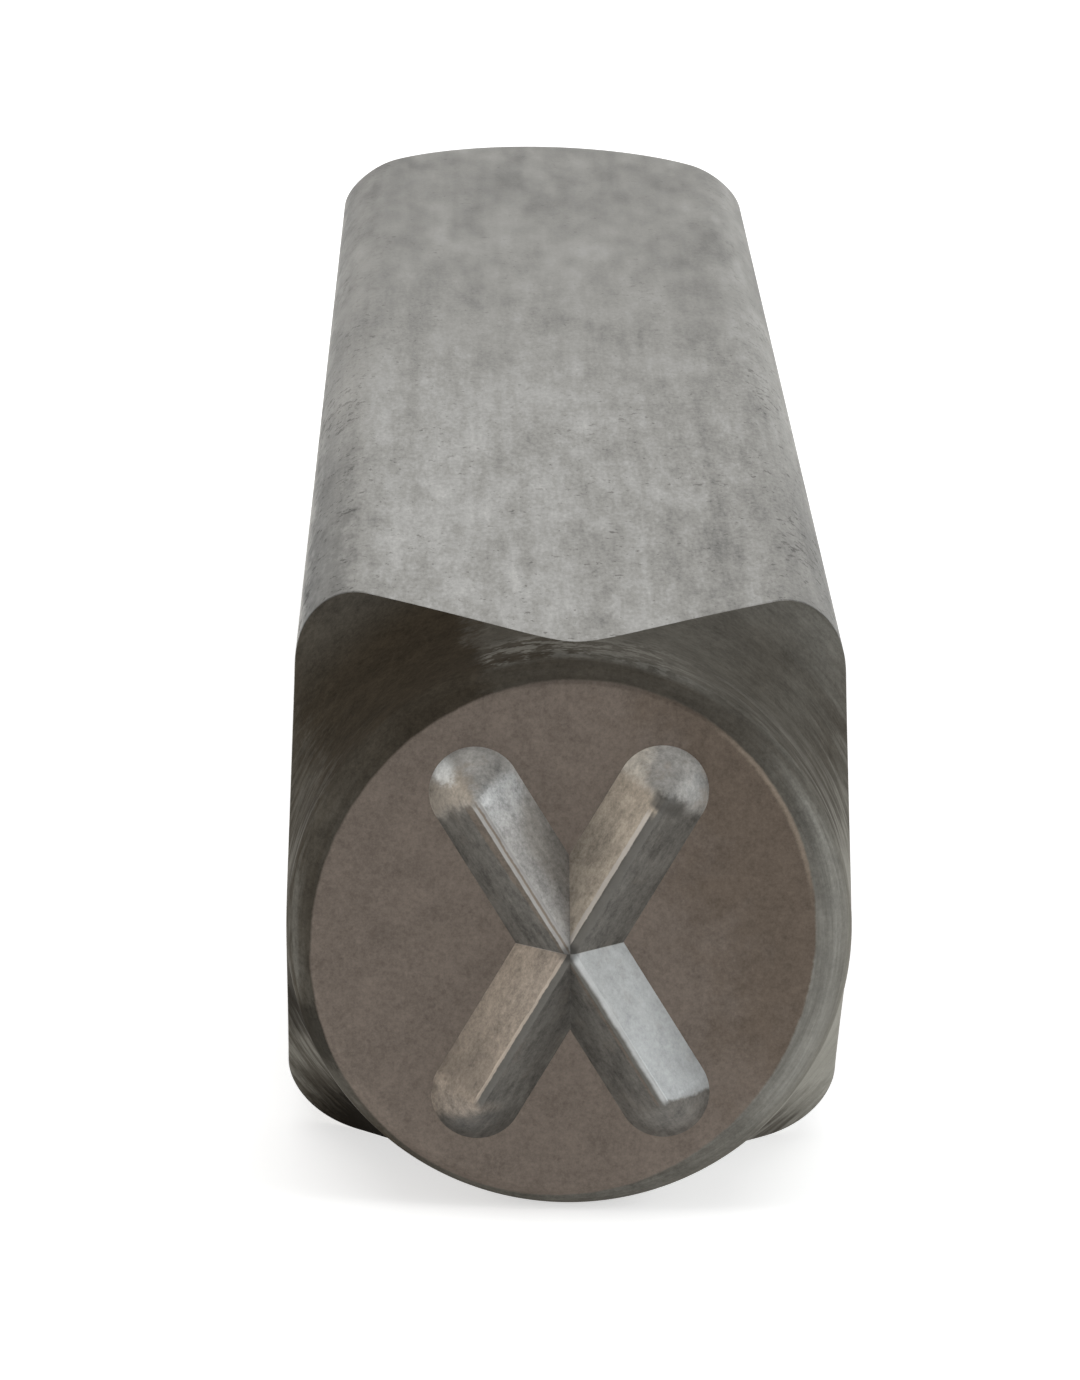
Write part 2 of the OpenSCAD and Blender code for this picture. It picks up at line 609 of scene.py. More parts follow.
        # The edge of the face, rubbed to the steel by turns round the nose, most on the right: partly rubbed
        # and partly a painted highlight where it faces the side lamps
        soft = (1 - overhead) * 1.2
        inward = (depth + blur * 0.15 + rings * 0.10) / lip_depth
        edge = graph.step((1.25 + soft - inward) / (0.5 + soft), 0.0, 1.0)
        wear = wear * (1 - edge) + edge * lip * (1 + rings * 1.4)
        wear = graph.math("MINIMUM", graph.math("MAXIMUM", wear, 0.0), 1.0)

        # Painted shade under the lower left corner of the flare and in a band on the left just below the
        # middle, and all of it together
        corner_shade = graph.step(turn, 0.605, 0.640) * graph.step(turn, 0.715, 0.690)
        corner_shade = corner_shade * graph.step(distance, 4.9, 5.6)
        left_band_shade = graph.step(turn, 0.535, 0.555) * graph.step(turn, 0.595, 0.575)
        rough = (grain * 0.9 + mottle * 1.5) * (1 - flare * 0.5)
        shade = (1 + rough) * (1 - corner_shade * 0.75) * (1 - left_band_shade * 0.50)
        steel = graph.tint(graph.mix(wear, self.scale, self.bare), shade)
        relief = 0.1 + rings * 0.6 + scratches * 0.2 + mottle * 0.5
        normal = graph.bump(relief * (1 - film) + grain * 0.3, self.relief)
        roughness = self.roughness + (1 - wear) * (1 - film) * 0.12 + film * 0.13 + mottle * 0.15
        metal = graph.math("MAXIMUM", film * self.metal, graph.math("MINIMUM", wear * 2.0, 1.0))
        self.coat(graph, graph.mix(film, steel, brown), roughness, metal, normal)


@dataclass(frozen=True, kw_only=True)
class GroundLetter(Steel):
    """The letter's finish: ground flanks painted lit and shaded by the way they face, with bright lines along
    the ridges as painted highlights. The flanks that face up and right are silver and grey in painted light,
    those that face up and left tan and brown, partly a brown film and partly painted warm light, and those
    that face down dark in painted shade.

    The first stroke leans right at its top, and the second leans left.
    """

    middle_z: float
    turn_deg: float
    lean: Point
    # The flanks' colours are lit and shaded copies of the ground steel: silver and the two greys after it are
    # painted light on the flanks that face up and right, tan and brown are partly a brown film and partly
    # painted warm light on those that face up and left, and dark is painted shade on those that face down.
    # The two line colours are painted highlights along the ridges, and light is painted light on the upper
    # right end.
    silver: Colour = (0.371, 0.380, 0.377)
    worn: Colour = (0.325, 0.316, 0.302)
    dull: Colour = (0.250, 0.237, 0.217)
    tan: Colour = (0.362, 0.316, 0.260)
    brown: Colour = (0.262, 0.222, 0.183)
    dark: Colour = (0.113, 0.107, 0.096)
    top_end: Colour = (0.254, 0.245, 0.228)
    low_end: Colour = (0.122, 0.114, 0.102)
    stain: Colour = (0.200, 0.166, 0.135)
    line: Colour = (0.480, 0.450, 0.420)
    tan_line: Colour = (0.470, 0.400, 0.335)
    light: Colour = (0.500, 0.460, 0.400)
    roughness: float = 0.38
    metal: float = 0.3
    shine: float = 0.2
    grazing: Colour = (1.0, 1.0, 1.0)
    relief: float = 0.008
    ridge_half: float = 0.085
    soft_edge: float = 0.01
    blotch: Grain = Grain(1.5, 1.5, layers=4.0)
    mottle: Grain = Grain(2.6, 2.6, layers=4.0, rough=0.8)
    grain: Grain = Grain(13.0, 13.0, rough=0.8)
    stains: Grain = Grain(1.9, 1.9, layers=4.0)
    streaks: Grain = Grain(6.0, 0.8, layers=4.0)
    stroke_apart: float = 9.0

    def along(self, x: Value, z: Value, lean: int) -> tuple[Value, Value]:
        """Places along and across one of the strokes.

        Args:
            x: Place across the bar.
            z: Place above the letter's middle.
            lean: 1 for the first stroke, -1 for the second.

        Returns:
            The place along the stroke, upwards, and across it, towards the flank that faces up.
        """
        run, off = turned(x, z, math.atan2(self.lean[1], lean * self.lean[0]) + math.radians(self.turn_deg))
        return run, off * lean

    def band(self, graph: Graph, value: Value, start: float, stop: float) -> Value:
        """A soft-edged band that is 1 between two values."""
        rise = graph.step(value, start - self.soft_edge, start + self.soft_edge)
        return rise * graph.step(value, stop + self.soft_edge, stop - self.soft_edge)

    @staticmethod
    def glint(graph: Graph, along: Value, across: Value, size: float) -> Value:
        """A soft round patch of a size, which is 1 in its middle."""
        return graph.step(graph.length(along, across), size, size * 0.22)

    def paint(self, graph: Graph) -> None:
        """Fills the finish's node tree.

        Args:
            graph: The tree.
        """
        place = graph.millimetres()
        x, _, z = graph.split(place)
        above = z - self.middle_z
        run_1, off_1 = self.along(x, above, 1)
        run_2, off_2 = self.along(x, above, -1)
        first = graph.step(abs(off_2) - abs(off_1), -self.soft_edge, self.soft_edge)
        second = 1 - first
        run = run_1 * first + run_2 * second
        off = off_1 * first + off_2 * second
        reach = abs(run) - math.hypot(*self.lean) / 2
        blotch, mottle, grain = graph.noises(place, self.blotch, self.mottle, self.grain)
        streaks = graph.join(run * self.streaks.along, off * self.streaks.across, first * self.stroke_apart)
        streaks = graph.noise_at(streaks, self.streaks)

        # The four flanks, painted lit and shaded by the way they face, darker towards the stroke ends
        top = graph.step(run, -0.12, 0.12)
        upper = graph.step(off, -0.02, 0.02)
        fade = graph.step(abs(run), 1.3, 3.1)
        # The painted light on the upper left's flank that faces up is brighter near its ridge and its end and
        # duller towards its base
        bare = graph.step(off + blotch * 0.5 - graph.step(reach, -1.2, 0.0) * 0.45, 0.52, 0.22)
        silver = graph.tint(self.silver, 1 + mottle)
        bright = graph.mix(graph.step(reach, -0.9, -0.1) * 0.6, self.worn, silver)
        tan = graph.tint(self.tan, 1.04 - fade * 0.22)
        high = graph.mix(first, graph.mix(bare, self.dull, bright), tan)
        brown = graph.tint(self.brown, 1.08 - fade * 0.46)
        low = graph.mix(first, graph.tint(self.silver, 1.05 - fade * 0.24), brown)
        colour = graph.mix(upper, self.dark, graph.mix(top, low, high))

        # The round ends, the lower ones darker in painted shade, and the uneven tone of it all
        round_top = graph.step(reach + blotch * 0.5, -0.12, 0.16) * top
        slant = graph.step(reach - off * 0.5 + graph.step(off, 0.28, 0.0) * 0.10 + mottle * 0.25, -0.05, 0.04)
        round_low = (slant * second + graph.step(reach, -0.25, 0.18) * first) * (1 - top)
        filmed = first * graph.step(off - reach + mottle * 0.3, -0.45, -0.05)
        low_end = graph.tint(self.low_end, 1 - first * 0.32)
        low_end = graph.mix(filmed, low_end, graph.tint(self.brown, 0.83 + mottle))
        colour = graph.mix(round_low, colour, low_end)
        colour = graph.mix(round_top, colour, graph.tint(self.top_end, 1 - first * 0.06))
        shiny = upper * second * (1 - top) * (1 - round_low)
        tone = 1 + mottle * (1.20 - shiny * 0.5) + blotch * (0.8 + round_top * 0.6 - shiny * 0.5)
        tone = tone + grain * (1.2 - shiny * 0.6)
        tone = tone + streaks * (1.5 - upper * 0.6) * (1 - round_top) * (1 - shiny * 0.7)
        stains = graph.step(graph.noise(place, self.stains), 0.03, 0.18) * (0.15 + round_top * 0.35)
        colour = graph.mix(stains, graph.tint(colour, tone), self.stain)

        # Film, a painted lit side and painted glints on the upper ends
        rough = 1 + mottle * 1.3 + grain
        tanned = graph.step(off + mottle * 0.5, 0.12, -0.08) * graph.step(reach, 0.75, 0.45)
        tanned = second * round_top * tanned
        faded = 0.88 - graph.step(off, -0.20, -0.60) * 0.30
        colour = graph.mix(tanned * 0.85, colour, graph.tint(self.tan, rough * faded))
        lit_side = first * top * graph.step(off + mottle * 0.4, 0.30, 0.70) * graph.step(reach, -0.20, 0.15)
        colour = graph.mix(lit_side * 0.8, colour, graph.tint(self.light, rough + blotch))
        along, across = reach + mottle * 0.5, off + blotch * 0.5
        left = self.glint(graph, along - 0.63, across + 0.25, 0.32) * second
        right = self.glint(graph, along - 0.32, across + 0.44, 0.36) * first
        glints = (left + right * 0.35) * top * 0.8
        colour = graph.mix(glints, colour, graph.tint(self.silver, rough * (1 + left * 0.45)))

        # The ridges, painted in the light and shade of the flanks beside them, the bright lines along them as
        # painted highlights, a patch of painted shade at the upper right end, and the pit where they cross
        wander = off + mottle * 0.06
        inside = graph.step(reach + mottle * 0.3 + first * top * 0.28, 0.05, -0.12)
        flat = graph.step(abs(off), self.ridge_half + self.soft_edge, self.ridge_half - self.soft_edge)
        worn = graph.mix(self.band(graph, wander, -0.02, 0.02), self.worn, self.stain)
        torn = graph.step(off + blotch * 0.09, -0.05, 0.03)
        torn = graph.mix(torn, self.dark, graph.tint(self.silver, 1.25))
        ridge = graph.mix(first, graph.mix(top, torn, worn), self.dark)
        colour = graph.mix(inside * flat, colour, graph.tint(ridge, 1.05 + mottle * 0.6))
        taper = wander + graph.step(run, 0.2, 2.6) * 0.09
        strip = inside * second * graph.step(wander, -0.08, -0.10) * graph.step(taper, -0.15, -0.12)
        colour = graph.mix(strip * 0.9, colour, graph.tint(self.stain, rough * 0.71))
        shown = inside * first * (0.8 + blotch * 0.8)
        colour = graph.mix(shown * self.band(graph, wander, 0.08, 0.15) * top, colour, self.line)
        colour = graph.mix(shown * self.band(graph, wander, 0.04, 0.09) * (1 - top), colour, self.tan_line)
        patch = first * top * graph.step(reach, -0.26, -0.14) * graph.step(reach + mottle * 0.4, 0.24, 0.02)
        patch = patch * graph.step(off, 0.24, 0.12) * graph.step(off + mottle * 0.4, -0.52, -0.36)
        colour = graph.mix(patch * 0.9, colour, graph.tint(self.dark, 0.75 + mottle))
        pit = graph.step(graph.length(x, above) + blotch * 0.2, 0.24, 0.08)
        colour = graph.tint(colour, 1 - pit * 0.6)

        normal = graph.bump(streaks * 0.5 + mottle * 0.4 + grain * 0.3, self.relief)
        self.coat(graph, colour, self.roughness + mottle * 0.25, self.metal * (1 - round_top * 0.7), normal)


@dataclass(frozen=True)
class PaleFloor(Finish):
    """The studio floor's finish: a pale sheet that is lit from below as well."""

    colour: Colour = (0.80, 0.80, 0.795)
    glow: float = 0.58
    roughness: float = 0.9
    unevenness: float = 0.02
    clouds: Grain = Grain(0.2, 0.2, layers=2.0, rough=0.5)

    def paint(self, graph: Graph) -> None:
        """Fills the finish's node tree.

        Args:
            graph: The tree.
        """
        clouds = graph.noise(graph.millimetres(), self.clouds)
        colour = graph.tint(self.colour, 1 + clouds * self.unevenness)
        light = {"Emission Color": (1.0, 1.0, 1.0), "Emission Strength": self.glow}
        graph.surface({"Base Color": colour, "Roughness": self.roughness, **light})


class Bench:
    """Modelling steps that the pieces share, done with Blender's own tools."""

    @staticmethod
    def clear() -> None:
        """Deselects everything, so that the next primitive is alone."""
        bpy.ops.object.select_all(action="DESELECT")

    @staticmethod
    def activate(piece: bpy.types.Object) -> None:
        """Selects a piece by itself and makes it the active one."""
        Bench.clear()
        piece.select_set(True)
        bpy.context.view_layer.objects.active = piece

    @staticmethod
    def edit(piece: bpy.types.Object) -> None:
        """Opens a piece in edit mode, by itself."""
        Bench.activate(piece)
        bpy.ops.object.mode_set(mode="EDIT")

    @staticmethod
    def close() -> None:
        """Leaves edit mode."""
        bpy.ops.object.mode_set(mode="OBJECT")

    @staticmethod
    def pick(piece: bpy.types.Object, part: Part, wanted: Callable[[Any], bool]) -> None:
        """Selects points, edges or faces of a piece, in edit mode.

        Args:
            piece: The piece.
            part: Which of them are picked.
            wanted: Tells from a point, an edge or a face if it is selected.
        """
        bpy.ops.mesh.select_mode(type=part.name)
        bpy.ops.mesh.select_all(action="DESELECT")
        mesh = bmesh.from_edit_mesh(piece.data)
        for element in getattr(mesh, part.value):
            element.select = wanted(element)
        mesh.select_flush_mode()
        bmesh.update_edit_mesh(piece.data)

    @staticmethod
    def lathe(name: str, outline: Sequence[Point], axis_z: float) -> bpy.types.Object:
        """Draws a profile point by point and spins it round the bar's axis.

        Args:
            name: The piece's name.
            outline: Distances from the axis and places along the bar, in millimetres.
            axis_z: Height of the axis in millimetres.

        Returns:
            The closed, turned piece.
        """
        Bench.clear()
        bpy.ops.mesh.primitive_plane_add(size=MM, location=(0, 0, 0))
        piece = bpy.context.object
        piece.name = piece.data.name = name
        places = [Vector((distance, y, axis_z)) * MM for distance, y in outline]
        bpy.ops.object.mode_set(mode="EDIT")
        bpy.ops.mesh.select_mode(type="VERT")
        bpy.ops.mesh.select_all(action="SELECT")
        bpy.ops.mesh.merge(type="CENTER")
        bpy.ops.transform.translate(value=places[0])
        for start, stop in zip(places, places[1:]):
            bpy.ops.mesh.extrude_region_move(TRANSFORM_OT_translate={"value": stop - start})
        bpy.ops.mesh.select_all(action="SELECT")
        centre = (0, 0, axis_z * MM)
        bpy.ops.mesh.spin(steps=SPIN_STEPS, angle=math.tau, center=centre, axis=(0, 1, 0))
        bpy.ops.mesh.select_all(action="SELECT")
        bpy.ops.mesh.remove_doubles(threshold=MERGE_MM * MM)
        bpy.ops.mesh.normals_make_consistent(inside=False)
        Bench.close()
        return piece

    @staticmethod
    def smooth(piece: bpy.types.Object) -> None:
        """Shades a piece smooth, apart from its creases."""
        Bench.activate(piece)
        bpy.ops.object.shade_smooth_by_angle(angle=math.radians(CREASE_DEG))

    @staticmethod
    def flatten(piece: bpy.types.Object) -> None:
        """Lets the large faces of the active piece keep their own direction, so that they shade flat."""
        weigh = piece.modifiers.new("flat faces", "WEIGHTED_NORMAL")
        weigh.keep_sharp = True
        bpy.ops.object.modifier_apply(modifier=weigh.name)

    @staticmethod
    def hand_in(piece: bpy.types.Object, node: str, slot: Slot) -> None:
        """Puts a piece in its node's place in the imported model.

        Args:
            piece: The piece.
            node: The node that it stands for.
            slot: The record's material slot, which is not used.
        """
        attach(piece, BODY)
        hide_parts(node)
        log.info("%s: %d faces", piece.name, len(piece.data.polygons))


def spread(start: float, stop: float, count: int) -> list[float]:
    """Evenly spaced values.

    Args:
        start: The first value.
        stop: The last value.
        count: How many steps lie between them.

    Returns:
        The values, both ends included.
    """
    return [start + (stop - start) * i / count for i in range(count + 1)]


def same(first: Point, second: Point) -> bool:
    """Tells if two points are the same but for rounding."""
    return all(abs(a - b) < SAME_MM for a, b in zip(first, second))


@dataclass(kw_only=True)
class TurnedEnd:
    """An end of the bar: spun from a profile, drawn in onto the bar's section, its edges broken."""

    bar: BarSection
    name: str
    node: str
    slot: Slot
    rim_edge: float
    rim_steps: int = 3
    shoulder_edge: float = 0.05
    shoulder_steps: int = 2

    @property
    def rim(self) -> Point:
        """Distance from the axis and place along the bar of the edge of the end's flat."""
        raise NotImplementedError

    def outline(self) -> list[Point]:
        """The turned profile, as distances from the axis and places along the bar."""
        raise NotImplementedError

    def shoulder_y(self, angle: float) -> float:
        """Place along the bar where the turned form meets the bar's surface, by direction from the axis."""
        raise NotImplementedError

    def drawn_in(self, distance: float, angle: float, y: float) -> Point | None:
        """The new distance and place of a point of the spun end, or nothing where it stays."""
        raise NotImplementedError

    def on_shoulder(self, place: Vector) -> bool:
        """Tells if a mesh point lies on the edge between the turned form and the bar."""
        distance, angle = self.bar.polar(place)
        return same((distance, place.y / MM), (self.bar.reach(angle), self.shoulder_y(angle)))

    def on_rim(self, place: Vector) -> bool:
        """Tells if a mesh point lies on the edge of the end's flat."""
        distance, _ = self.bar.polar(place)
        return same((distance, place.y / MM), self.rim)

    def build(self) -> bpy.types.Object:
        """Models the end.

        Returns:
            The end.
        """
        piece = Bench.lathe(self.name, self.outline(), self.bar.axis_z)
        for vertex in piece.data.vertices:
            distance, angle = self.bar.polar(vertex.co)
            moved = self.drawn_in(distance, angle, vertex.co.y / MM)
            if moved:
                vertex.co = self.bar.place(moved[0], angle, moved[1])
        Bench.edit(piece)
        edges = (
            (self.on_shoulder, self.shoulder_edge, self.shoulder_steps),
            (self.on_rim, self.rim_edge, self.rim_steps),
        )
        for wanted, width, steps in edges:
            Bench.pick(piece, Part.EDGE, lambda edge: all(wanted(vertex.co) for vertex in edge.verts))
            bpy.ops.mesh.bevel(offset=width * MM, segments=steps, affect="EDGES")
        Bench.close()
        Bench.smooth(piece)
        return piece

    def dress(self, piece: bpy.types.Object, front: bpy.types.Material, back: bpy.types.Material) -> None:
        """Gives the end its two finishes.

        Args:
            piece: The end.
            front: The finish in front of the shoulder.
            back: The finish behind it.
        """
        piece.data.materials.append(front)
        piece.data.materials.append(back)
        for polygon in piece.data.polygons:
            _, angle = self.bar.polar(polygon.center)
            if polygon.center.y / MM > self.shoulder_y(angle):
                polygon.material_index = 1
        Bench.hand_in(piece, self.node, self.slot)


@dataclass(kw_only=True)
class Nose(TurnedEnd):
    """The turned nose: round face, rounded edge, hollow flare and a stretch of bar."""

    name: str = "stamp_nose"
    node: str = "nose"
    slot: Slot = Slot.NOSE
    rim_edge: float = 0.04
    face_y: float
    back_y: float
    inset: float = 0.02
    edge_w: float = 0.46
    edge_l: float = 0.7
    flare_r: float = 10.3
    face_rings: int = 6
    edge_rings: int = 10
    flare_rings: int = 36
    bar_rings: int = 18

    @property
    def radius(self) -> float:
        """Radius where the rounded edge ends and the flare begins."""
        return self.bar.half - self.inset

    @property
    def rim(self) -> Point:
        """Distance from the axis and place along the bar of the edge of the flat face."""
        return self.radius - self.edge_w, self.face_y

    @property
    def edge_radius(self) -> float:
        """Radius of the rounded edge, which leaves the face at an angle and ends along the bar."""
        return (self.edge_w**2 + self.edge_l**2) / (2 * self.edge_w)

    def edge_point(self, angle: float) -> Point:
        """Distance from the axis and place along the bar at an angle before the rounded edge's end."""
        distance = self.radius - self.edge_radius * (1 - math.cos(angle))
        return distance, self.face_y + self.edge_l - self.edge_radius * math.sin(angle)

    def flare_angle(self, distance: float) -> float:
        """Angle along the flare's arc at which it reaches a distance from the axis."""
        return math.acos(1 - (distance - self.radius) / self.flare_r)

    def flare_point(self, angle: float) -> Point:
        """Distance from the axis and place along the bar at an angle along the flare's arc."""
        distance = self.radius + self.flare_r * (1 - math.cos(angle))
        return distance, self.face_y + self.edge_l + self.flare_r * math.sin(angle)

    def shoulder_y(self, angle: float) -> float:
        """Place along the bar where the flare meets the bar's surface, by direction from the axis."""
        return self.flare_point(self.flare_angle(self.bar.reach(angle)))[1]

    def outline(self) -> list[Point]:
        """The turned profile, from the middle of the face to the axis at the back.

        Returns:
            Distances from the axis and places along the bar.
        """
        reach = self.bar.corner_reach
        edge_turn = math.asin(self.edge_l / self.edge_radius)
        flare_turns = spread(0, self.flare_angle(reach), self.flare_rings)
        points = [(distance, self.face_y) for distance in spread(0, self.rim[0], self.face_rings)]
        points += [self.edge_point(turn) for turn in spread(edge_turn, 0, self.edge_rings)[1:]]
        points += [self.flare_point(turn) for turn in flare_turns[1:]]
        corner_y = points[-1][1]
        points += [(reach, y) for y in spread(corner_y, self.back_y, self.bar_rings)[1:]]
        points.append((0, self.back_y))
        return points

    def drawn_in(self, distance: float, angle: float, y: float) -> Point | None:
        """Draws a point of the spun nose in onto the bar's section, with the shoulder kept on a ring.

        Args:
            distance: Distance from the axis.
            angle: Direction from the axis.
            y: Place along the bar.

        Returns:
            The new distance and place along the bar, or nothing on the face and the rounded edge.
        """
        flare_y = self.face_y + self.edge_l
        if y <= flare_y + MERGE_MM or distance < self.radius:
            return None
        full = self.flare_angle(self.bar.corner_reach)
        corner_y = self.flare_point(full)[1]
        reach = self.bar.reach(angle)
        if y <= corner_y + MERGE_MM:
            share = min(1.0, math.asin(min(1.0, (y - flare_y) / self.flare_r)) / full)
            return self.flare_point(self.flare_angle(reach) * share)
        shoulder = self.shoulder_y(angle)
        along = (y - corner_y) / (self.back_y - corner_y)
        return reach, shoulder + along * (self.back_y - shoulder)


@dataclass
class Shank:
    """The plain bar between the nose and the struck end."""

    bar: BarSection
    front_y: float
    back_y: float
    corner_steps: int = 24
    hem: float = 0.15

    def build(self) -> bpy.types.Object:
        """Models the bar: a block with its four long edges rounded.

        Returns:
            The bar.
        """
        Bench.clear()
        middle = (0, (self.front_y + self.back_y) / 2 * MM, self.bar.axis_z * MM)
        bpy.ops.mesh.primitive_cube_add(size=MM, location=middle)
        piece = bpy.context.object
        piece.name = piece.data.name = "stamp_bar"
        piece.scale = (self.bar.width, self.back_y - self.front_y, self.bar.width)
        bpy.ops.object.transform_apply(location=True, rotation=True, scale=True)
        Bench.edit(piece)
        width = self.bar.width * MM
        Bench.pick(piece, Part.EDGE, lambda edge: abs(edge.verts[0].co.y - edge.verts[1].co.y) > width)
        bpy.ops.mesh.bevel(offset=self.bar.corner * MM, segments=self.corner_steps, affect="EDGES")
        Bench.pick(piece, Part.FACE, lambda face: max(abs(face.normal.x), abs(face.normal.z)) > SQUARE_NORMAL)
        bpy.ops.mesh.inset(thickness=self.hem * MM, use_individual=True)
        Bench.close()
        Bench.smooth(piece)
        return piece

    def dress(self, piece: bpy.types.Object, steel: bpy.types.Material) -> None:
        """Gives the bar its finish."""
        piece.data.materials.append(steel)
        Bench.hand_in(piece, "shank", Slot.BAR)


@dataclass(kw_only=True)
class StruckEnd(TurnedEnd):
    """The end for the hammer: a flat inside a convex crown that runs out on the bar's corners."""

    name: str = "stamp_struck_end"
    node: str = "struck_end"
    slot: Slot = Slot.END
    rim_edge: float = 0.12
    front_y: float
    end_y: float
    flat_inset: float = 1.0
    crown_run: float = 5.9
    crown_r: float = 14.0
    flat_rings: int = 6
    crown_rings: int = 36
    bar_rings: int = 8

    @property
    def flat_radius(self) -> float:
        """Radius of the struck flat."""
        return self.bar.half - self.flat_inset

    @property
    def rim(self) -> Point:
        """Distance from the axis and place along the bar of the edge of the struck flat."""
        return self.flat_radius, self.end_y

    @property
    def arc_middle(self) -> Point:
        """Middle of the crown's arc.

        Returns:
            Its distance from the axis, and its distance in from the struck end.
        """
        wide = self.bar.corner_reach - self.flat_radius
        chord = math.hypot(wide, self.crown_run)
        rise = math.sqrt(self.crown_r**2 - (chord / 2) ** 2)
        distance = (self.flat_radius + self.bar.corner_reach) / 2 - rise * self.crown_run / chord
        return distance, self.crown_run / 2 + rise * wide / chord

    def crown_y(self, distance: float) -> float:
        """Place along the bar where the crown has a distance from the axis."""
        middle, depth = self.arc_middle
        return self.end_y - depth + math.sqrt(self.crown_r**2 - (distance - middle) ** 2)

    def shoulder_y(self, angle: float) -> float:
        """Place along the bar where the crown meets the bar's surface, by direction from the axis."""
        return self.crown_y(self.bar.reach(angle))

    def outline(self) -> list[Point]:
        """The turned profile, from the axis at the front to the middle of the struck flat.

        Returns:
            Distances from the axis and places along the bar.
        """
        reach = self.bar.corner_reach
        corner_y = self.crown_y(reach)
        points = [(0.0, self.front_y)]
        points += [(reach, y) for y in spread(self.front_y, corner_y, self.bar_rings)]
        distances = spread(reach, self.flat_radius, self.crown_rings)[1:]
        points += [(distance, self.crown_y(distance)) for distance in distances]
        points += [(distance, self.end_y) for distance in spread(self.flat_radius, 0, self.flat_rings)[1:]]
        return points

    def drawn_in(self, distance: float, angle: float, y: float) -> Point | None:
        """Draws a point of the spun end in onto the bar's section, with the crown's edge kept on a ring.

        Args:
            distance: Distance from the axis.
            angle: Direction from the axis.
            y: Place along the bar.

        Returns:
            The new distance and place along the bar, or nothing on the struck flat.
        """
        if distance <= self.flat_radius + MERGE_MM:
            return None
        full = self.bar.corner_reach
        corner_y = self.crown_y(full)
        reach = self.bar.reach(angle)
        if y >= corner_y - MERGE_MM:
            share = (distance - self.flat_radius) / (full - self.flat_radius)
            distance = self.flat_radius + share * (reach - self.flat_radius)
            return distance, self.crown_y(distance)
        along = (y - self.front_y) / (corner_y - self.front_y)
        return reach, self.front_y + along * (self.crown_y(reach) - self.front_y)


